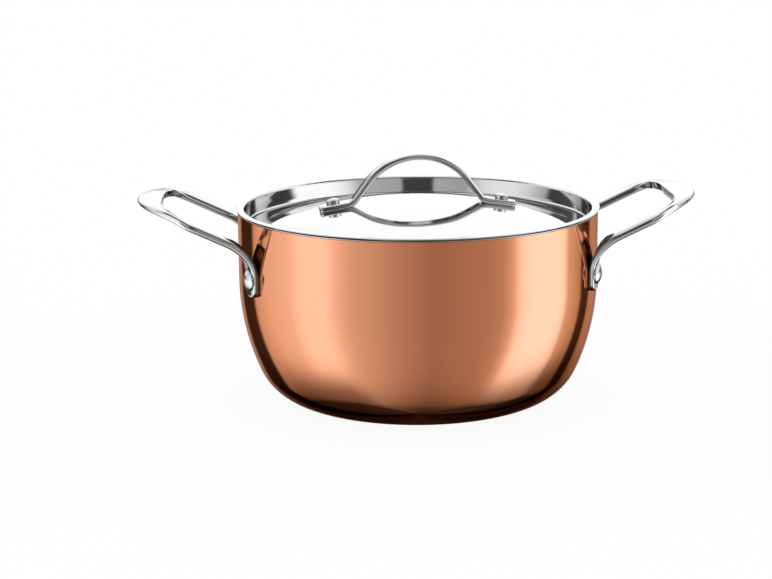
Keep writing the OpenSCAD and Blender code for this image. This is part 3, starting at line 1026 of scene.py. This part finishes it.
class Effects:
    """Shader node groups that several finishes share."""

    def __init__(self) -> None:
        """Builds each group once."""
        self.lathe_lines = self._lathe_lines()
        self.hairlines = self._hairlines()
        self.handling = self._handling()

    @staticmethod
    def _group(name: str, inputs: dict[str, float], *outputs: str) -> tuple[Wiring, bpy.types.NodeOutputs]:
        """Starts a group.

        Args:
            name: Its name.
            inputs: Value inputs with their defaults.
            *outputs: Names of its value outputs.

        Returns:
            The group's wiring, and the sockets that give its inputs.
        """
        tree = bpy.data.node_groups.new(name, "ShaderNodeTree")
        tree.interface.new_socket("Vector", in_out="INPUT", socket_type="NodeSocketVector")
        for key, value in inputs.items():
            made = tree.interface.new_socket(key, in_out="INPUT", socket_type="NodeSocketFloat")
            made.default_value = value
        for key in outputs:
            tree.interface.new_socket(key, in_out="OUTPUT", socket_type="NodeSocketFloat")
        w = Wiring(tree)
        return w, w.node("NodeGroupInput").outputs

    def _lathe_lines(self) -> NodeTree:
        """Fine rings left by the polishing wheel on a turning piece."""
        w, start = self._group("lathe_lines", {"Rings": 2600.0, "Drift": 0.35}, "Height", "Mask")
        x, y, z = w.node("SeparateXYZ", {0: start["Vector"]}).outputs
        squares = (w.maths("MULTIPLY", x, x), w.maths("MULTIPLY", y, y))
        far = w.maths("SQRT", w.maths("ADD", *squares))
        place = w.node("CombineXYZ", {
            0: w.maths("MULTIPLY", far, start["Rings"]),
            1: w.maths("MULTIPLY", w.maths("ARCTAN2", y, x), start["Drift"]),
            2: w.maths("MULTIPLY", z, start["Rings"])})
        fine = w.node("TexNoise", {
            "Scale": 1.0, "Detail": 3.0, "Roughness": 0.65, "Vector": place.outputs[0]}).outputs["Fac"]
        w.node("NodeGroupOutput", {"Height": fine, "Mask": w.maths("SMOOTH_MIN", fine, 0.75, 0.1)})
        return w.tree

    @staticmethod
    def _band(w: Wiring, vector: NodeSocket, scale: NodeSocket, levels: Point2,
              **noise: float) -> NodeSocket:
        """Adds a noise, and gives where it lies above a soft step between two levels."""
        made = w.node("TexNoise", {"Vector": vector, "Scale": scale, **noise})
        sinks = {"From Min": levels[0], "From Max": levels[1], "Value": made.outputs["Fac"]}
        return w.node("MapRange", sinks, interpolation_type="SMOOTHSTEP").outputs[0]

    def _hairlines(self) -> NodeTree:
        """Sparse hair-fine scratches in two directions."""
        w, start = self._group("hairlines", {"Scale": 60.0, "Amount": 0.5}, "Height", "Mask")
        found = []
        for turn, stretch in (((0.4, 0.9, 0.3), (1.0, 22.0, 22.0)), ((1.3, 0.2, 1.1), (18.0, 1.0, 18.0))):
            lie = w.node("Mapping", {"Rotation": turn, "Scale": stretch, "Vector": start["Vector"]})
            found.append(self._band(w, lie.outputs[0], start["Scale"], levels=(0.64, 0.72), Detail=2.0))
        mask = w.maths("MULTIPLY", w.maths("MAXIMUM", *found), start["Amount"])
        w.node("NodeGroupOutput", {"Mask": mask, "Height": w.maths("SUBTRACT", 1.0, mask)})
        return w.tree

    def _handling(self) -> NodeTree:
        """Soft clouds where the polish is a little duller."""
        w, start = self._group("handling_clouds", {"Scale": 9.0, "Spread": 0.5}, "Mask")
        cloud = self._band(w, start["Vector"], start["Scale"], levels=(0.35, 0.7), Detail=4.0,
                           Distortion=0.6)
        w.node("NodeGroupOutput", {"Mask": w.maths("MULTIPLY", cloud, start["Spread"])})
        return w.tree


@dataclass(frozen=True)
class MetalFinish:
    """A polished metal with lathe or grinding lines, hairlines, clouds of handling and, where given, painted
    reflection shade: a darker base colour where another polished part reflects it.
    """

    name: str
    colour: Colour
    clouded: Colour
    roughness: float
    dull: float
    rings: float = 2600.0
    ring_depth: float = 0.03
    scratch_scale: float = 60.0
    scratches: float = 0.35
    scratch_dull: float = 0.8
    scratch_depth: float = 0.02
    relief: float = 0.5
    relief_m: float = 0.0001
    anisotropic: float = 0.0
    grazing: Colour = (1.0, 1.0, 1.0)
    # Painted reflection shade: the base colour this metal shows where it is seen in another polished part's
    # reflection; None keeps its own colour.
    painted_reflection_colour: Colour | None = None

    def material(self, effects: Effects) -> Material:
        """Builds the finish.

        Args:
            effects: The shared groups.

        Returns:
            The material.
        """
        made, w = new_nodes(bpy.data.materials, self.name)
        place = w.node("TexCoord").outputs["Object"]
        lines = w.node("Group", {"Vector": place, "Rings": self.rings}, node_tree=effects.lathe_lines)
        hairs = w.node("Group", {"Vector": place, "Scale": self.scratch_scale, "Amount": self.scratches},
                       node_tree=effects.hairlines)
        worn = w.node("Group", {"Vector": place}, node_tree=effects.handling).outputs["Mask"]
        tone = w.mix(worn, (*self.colour, 1), (*self.clouded, 1))
        # Painted reflection shade: a glossy ray that meets this metal, as in a reflection in another part, sees
        # the painted colour instead of its own.
        again = w.node("LightPath").outputs["Is Glossy Ray"]
        seen = w.mix(again, tone, (*(self.painted_reflection_colour or self.colour), 1))
        scratched = w.maths("MULTIPLY", hairs.outputs["Mask"], self.scratch_dull)
        dull = w.maths("ADD", worn, scratched)
        rough = w.node("MapRange", {"To Min": self.roughness, "To Max": self.dull, "Value": dull})
        rings = w.maths("MULTIPLY", lines.outputs["Height"], self.ring_depth)
        relief = w.maths("ADD", rings, w.maths("MULTIPLY", hairs.outputs["Height"], self.scratch_depth))
        bump = w.node("Bump", {"Strength": self.relief, "Distance": self.relief_m, "Height": relief})
        shader = w.node("BsdfPrincipled", {
            "Metallic": 1.0, "Anisotropic": self.anisotropic, "Specular Tint": (*self.grazing, 1),
            "Base Color": seen, "Roughness": rough.outputs[0], "Normal": bump.outputs[0]})
        w.node("OutputMaterial", {"Surface": shader.outputs[0]})
        return made


# Painted reflection shade: copper is painted dark brown, and forged steel slightly darker and neutral, where
# they are seen reflected in other metal.
COPPER = MetalFinish("polished_copper", (0.95, 0.375, 0.195), (0.93, 0.355, 0.18), 0.055, 0.10,
                     grazing=(1.0, 0.62, 0.45), painted_reflection_colour=(0.20, 0.15, 0.12))
LINING = MetalFinish("satin_lining", (0.74, 0.74, 0.75), (0.70, 0.70, 0.71), 0.20, 0.30,
                     rings=3200.0, ring_depth=0.25, anisotropic=0.4)
LID_SHEET = MetalFinish("mirror_lid_steel", (0.86, 0.865, 0.87), (0.84, 0.845, 0.85), 0.05, 0.10)
FORGED = MetalFinish("polished_forged_steel", (0.84, 0.845, 0.85), (0.80, 0.805, 0.81), 0.07, 0.14,
                     rings=1500.0, ring_depth=0.02, painted_reflection_colour=(0.80, 0.80, 0.80))
RIVETS = MetalFinish("rivet_steel", (0.80, 0.80, 0.81), (0.76, 0.76, 0.77), 0.12, 0.20,
                     rings=1200.0, ring_depth=0.04)


@dataclass
class Camera:
    """The photograph's view of the pot."""

    target: tuple[float, float, float] = (0.0, 0.0, 50.2)
    distance: float = 1196.5
    azimuth: float = -4.4
    elevation: float = 13.087
    roll: float = -0.243
    focal_px: float = 2073.9
    middle: Point2 = (32.25, 19.29)
    reach: Point2 = (0.05, 100.0)

    @property
    def back(self) -> Vector:
        """Direction from the target to the camera."""
        a, e = radians(self.azimuth), radians(self.elevation)
        return Vector((sin(a) * cos(e), -cos(a) * cos(e), sin(e)))

    def make(self) -> None:
        """Sets up the camera."""
        clear()
        bpy.ops.object.camera_add(location=(Vector(self.target) + self.back * self.distance) * MM)
        cam = bpy.context.object
        cam.name = "photo_camera"
        cam.rotation_mode = "QUATERNION"
        cam.rotation_quaternion = ((-self.back).to_track_quat("-Z", "Y")
                                   @ Quaternion((0, 0, 1), radians(self.roll)))
        cam.data.sensor_width = SENSOR_WIDTH
        cam.data.lens = self.focal_px * SENSOR_WIDTH / PHOTO_WIDTH
        cam.data.shift_x, cam.data.shift_y = -self.middle[0] / PHOTO_WIDTH, self.middle[1] / PHOTO_WIDTH
        cam.data.clip_start, cam.data.clip_end = self.reach
        bpy.context.scene.camera = cam


@dataclass(frozen=True)
class TableGlow:
    """Light of the white table at one bearing.

    It is the table's colour with the lamps on it, the height at which the pot's own shade halves it, and how
    fast that shade grows.
    """

    bearing: float
    colour: Colour
    shade: float
    steep: float = 2.0


@dataclass(frozen=True)
class RoomGlow:
    """Light of the room at one bearing: low over the table, higher up, and the height of the dark ceiling."""

    bearing: float
    low: float
    high: float
    top: float = 22.0


def rise_share(height: float) -> float:
    """Turns degrees above the horizon into a share, from 0 straight down to 1 straight up."""
    return (height + 90) / 180


@dataclass
class Studio:
    """White table and a surround of soft boxes and dark flags, laid out round the pot.

    Bearings are degrees to the right of the camera's own direction, seen from the pot; heights are degrees
    above the horizon. A level of 1 is white.
    """

    camera: Camera
    peak: float = 2.5
    steepest: float = 4.0
    fall_span: float = 72.0
    low_step: Point2 = (-9, -3)
    high_step: Point2 = (4, 8)
    top_blend: float = 12.0
    far_top: float = 46.0
    ceiling: float = 0.08
    skylight: float = 0.9
    sky_step: Point2 = (58, 68)
    open_from: float = 98.0
    open_blend: float = 6.0
    second_mirror: float = 1.5
    echo: float = 0.65
    echo_after: float = 2.0
    table_albedo: float = 0.98
    table_size: float = 60.0
    table_drop: float = 0.0001
    table_plain: float = 0.93
    table: tuple[TableGlow, ...] = tuple(TableGlow(*row) for row in (
        (-178, (0.90, 0.90, 0.90), -12), (-171, (0.38, 0.38, 0.38), -22), (-156, (0.52, 0.52, 0.52), -24),
        (-151, (0.05, 0.04, 0.04), -24), (-131, (0.05, 0.04, 0.04), -31), (-127, (0.66, 0.71, 0.74), -34),
        (-112, (0.86, 0.92, 0.98), -36), (-90, (0.98, 1.09, 1.20), -42), (-78, (1.28, 1.50, 1.78), -43),
        (-62, (1.28, 1.50, 1.80), -46, 1.8), (-52, (0.95, 1.06, 1.16), -51, 1.4),
        (-44, (0.77, 0.84, 0.88), -57, 1.2), (-38, (0.70, 0.75, 0.78), -60, 1.0),
        (-13, (0.50, 0.49, 0.46), -62, 1.0), (11, (0.36, 0.335, 0.305), -62, 1.0),
        (45, (0.46, 0.43, 0.38), -61, 1.0), (55, (0.54, 0.52, 0.47), -58, 1.2),
        (62, (0.80, 0.83, 0.81), -53, 1.4), (69, (1.32, 1.60, 1.98), -49, 1.6),
        (78, (1.38, 1.84, 2.34), -47, 1.6), (100, (1.38, 1.86, 2.42), -39, 1.6), (106, (1.25, 1.60, 2.05), -36),
        (110, (0.74, 0.82, 0.84), -34), (125, (0.52, 0.53, 0.50), -29), (128, (0.06, 0.05, 0.05), -26),
        (139, (0.06, 0.05, 0.05), -24), (142, (0.52, 0.55, 0.56), -24), (153, (0.52, 0.52, 0.52), -23),
        (159, (0.35, 0.36, 0.38), -22), (168, (0.38, 0.41, 0.44), -22), (177, (0.90, 0.90, 0.90), -12)))
    room: tuple[RoomGlow, ...] = tuple(RoomGlow(*row) for row in (
        (-176, 1.12, 1.12, 46), (-169, 0.12, 1.12, 46), (-164, 0.10, 0.08, 46), (-139, 0.10, 0.08, 46),
        (-136, 0.10, 0.60, 46), (-131, 0.08, 0.08, 46), (-109, 0.20, 0.05, 46), (-104, 0.60, 0.45, 46),
        (-90, 0.90, 0.75), (-78, 0.92, 0.95), (-62, 0.92, 0.98), (-52, 0.70, 0.88), (-44, 0.30, 0.72),
        (-38, 0.20, 0.42), (-13, 0.08, 0.48), (-11, 0.07, 0.05), (11, 0.06, 0.05), (13, 0.06, 0.44),
        (45, 0.08, 0.52), (55, 0.12, 0.98), (62, 0.30, 1.15), (69, 0.75, 1.25), (98, 0.95, 1.25),
        (104, 0.50, 0.10, 46), (107, 0.10, 0.05, 46), (124, 0.10, 0.05, 46), (128, 0.20, 0.55, 46),
        (140, 0.30, 0.75, 46), (148, 0.20, 0.08, 46), (163, 0.20, 0.08, 46), (168, 0.90, 1.12, 46),
        (176, 1.12, 1.12, 46)))
    fall: tuple[tuple[float, float, float, float], ...] = (
        (-32, 0.03, 0.02, 0.015), (-22, 0.14, 0.10, 0.075), (-12, 0.22, 0.18, 0.14),
        (-6, 0.36, 0.31, 0.27), (0, 0.55, 0.51, 0.47), (6, 0.76, 0.73, 0.70), (12, 0.90, 0.88, 0.86),
        (20, 0.98, 0.97, 0.96), (28, 1.0, 1.0, 1.0))

    def _bearing(self, w: Wiring, way: NodeSocket) -> NodeSocket:
        """Gives the bearing of a direction as a share of the full turn, 0.5 towards the camera."""
        a = radians(self.camera.azimuth)
        right, near = (
            w.node("VectorMath", {0: way, 1: axis}, operation="DOT_PRODUCT").outputs["Value"]
            for axis in ((cos(a), sin(a), 0.0), (sin(a), -cos(a), 0.0)))
        return w.maths("MULTIPLY_ADD", w.maths("ARCTAN2", right, near), 1 / tau, 0.5)

    def _room(self, w: Wiring, depth: NodeSocket) -> NodeSocket:
        """Wires the surround that the polished metal sees, as a share of the peak.

        Args:
            w: Wiring of the world.
            depth: How often the light has met metal; from the second time on the ceiling starts higher.

        Returns:
            The colour.
        """
        way = w.node("TexCoord").outputs["Generated"]
        bearing = self._bearing(w, way)
        up = w.node("SeparateXYZ", {0: way}).outputs[2]
        rise = w.maths("MULTIPLY_ADD", w.maths("ARCSINE", up), 1 / pi, 0.5)
        dark, bright = self.ceiling / self.peak, self.skylight / self.peak

        def around(stops: Sequence[tuple[float, ...]]) -> NodeSocket:
            """Adds a ramp round the pot from bearings and their levels or colours."""
            return w.ramp(bearing, [((stop[0] + 180) / 360, *stop[1:]) for stop in stops])

        def step(heights: Point2, levels: Point2 = (0.0, 1.0)) -> NodeSocket:
            """Adds a ramp between two heights."""
            return w.ramp(rise, [(rise_share(h), level) for h, level in zip(heights, levels)])

        table = around([(g.bearing, *(v / self.peak for v in g.colour)) for g in self.table])
        shade = around([(g.bearing, rise_share(g.shade)) for g in self.table])
        low = around([(g.bearing, g.low / self.peak) for g in self.room])
        high = around([(g.bearing, g.high / self.peak) for g in self.room])
        steep = around([(g.bearing, g.steep / self.steepest) for g in self.table])
        top = around([(g.bearing, rise_share(g.top)) for g in self.room])
        edge = self.open_from + self.open_blend
        wide = around([(-edge, bright), (-self.open_from, 0.0), (self.open_from, 0.0), (edge, bright)])
        again = w.maths("GREATER_THAN", depth, self.second_mirror)
        wide = w.maths("MULTIPLY", wide, w.maths("SUBTRACT", 1.0, again))
        high = w.maths("MAXIMUM", high, wide)
        top = w.maths("MAXIMUM", w.maths("MULTIPLY", again, rise_share(self.far_top)), top)
        over = w.maths("MULTIPLY", w.maths("SUBTRACT", rise, shade), steep)
        over = w.maths("MULTIPLY_ADD", over, 180 * self.steepest / self.fall_span, 0.5)
        fall = w.ramp(over, [(stop[0] / self.fall_span + 0.5, *stop[1:]) for stop in self.fall])
        lit = w.mix(1.0, table, fall, "MULTIPLY")
        lit = w.mix(step(self.low_step), lit, low)
        lit = w.mix(step(self.high_step), lit, high)
        share = w.ramp(w.maths("SUBTRACT", rise, top), [(0.0, 0.0), (self.top_blend / 180, 1.0)])
        return w.mix(share, lit, step(self.sky_step, (dark, bright)))

    def world(self) -> None:
        """Builds the surround: polished metal sees the studio, everything else plain white."""
        bpy.context.scene.world, w = new_nodes(bpy.data.worlds, "studio")
        path = w.node("LightPath").outputs
        later = w.maths("MAXIMUM", w.maths("SUBTRACT", path["Glossy Depth"], self.echo_after), 0.0)
        light = w.node("Background", {
            "Color": self._room(w, path["Glossy Depth"]),
            "Strength": w.maths("MULTIPLY", w.maths("POWER", self.echo, later), self.peak)})
        white = w.node("Background", {"Color": WHITE})
        w.mix_shaders(path["Is Glossy Ray"], white, light, "OutputWorld")

    def floor(self) -> None:
        """Lays the pale table, which keeps the pot's shadow."""
        clear()
        bpy.ops.mesh.primitive_plane_add(size=self.table_size, location=(0, 0, -self.table_drop))
        table = named("table")
        made, w = new_nodes(bpy.data.materials, "pale_table")
        matt = w.node("BsdfDiffuse", {"Color": (*[self.table_albedo] * 3, 1)})
        glow = w.node("Emission", {"Color": WHITE, "Strength": 1.0})
        seen = w.node("LightPath").outputs["Is Camera Ray"]
        w.mix_shaders(w.maths("MULTIPLY", seen, self.table_plain), matt, glow, "OutputMaterial")
        table.data.materials.append(made)
        table.visible_glossy = False


def main() -> None:
    """Builds the casserole, its studio and its camera, and reports each piece."""
    logging.basicConfig(level=logging.INFO, format="%(name)s: %(message)s")
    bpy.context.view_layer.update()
    bpy.context.scene.view_settings.view_transform = "Standard"
    camera = Camera()
    camera.make()
    studio = Studio(camera)
    studio.world()
    studio.floor()
    effects = Effects()
    copper, lining, sheet, forged, rivets = (
        finish.material(effects) for finish in (COPPER, LINING, LID_SHEET, FORGED, RIVETS))
    PotBody().make(copper, lining)
    handle = LoopHandle()
    handle.make(forged)
    WallRivets(handle).make(rivets)
    Lid().make(sheet, forged, rivets)


if __name__ == "__main__":
    main()
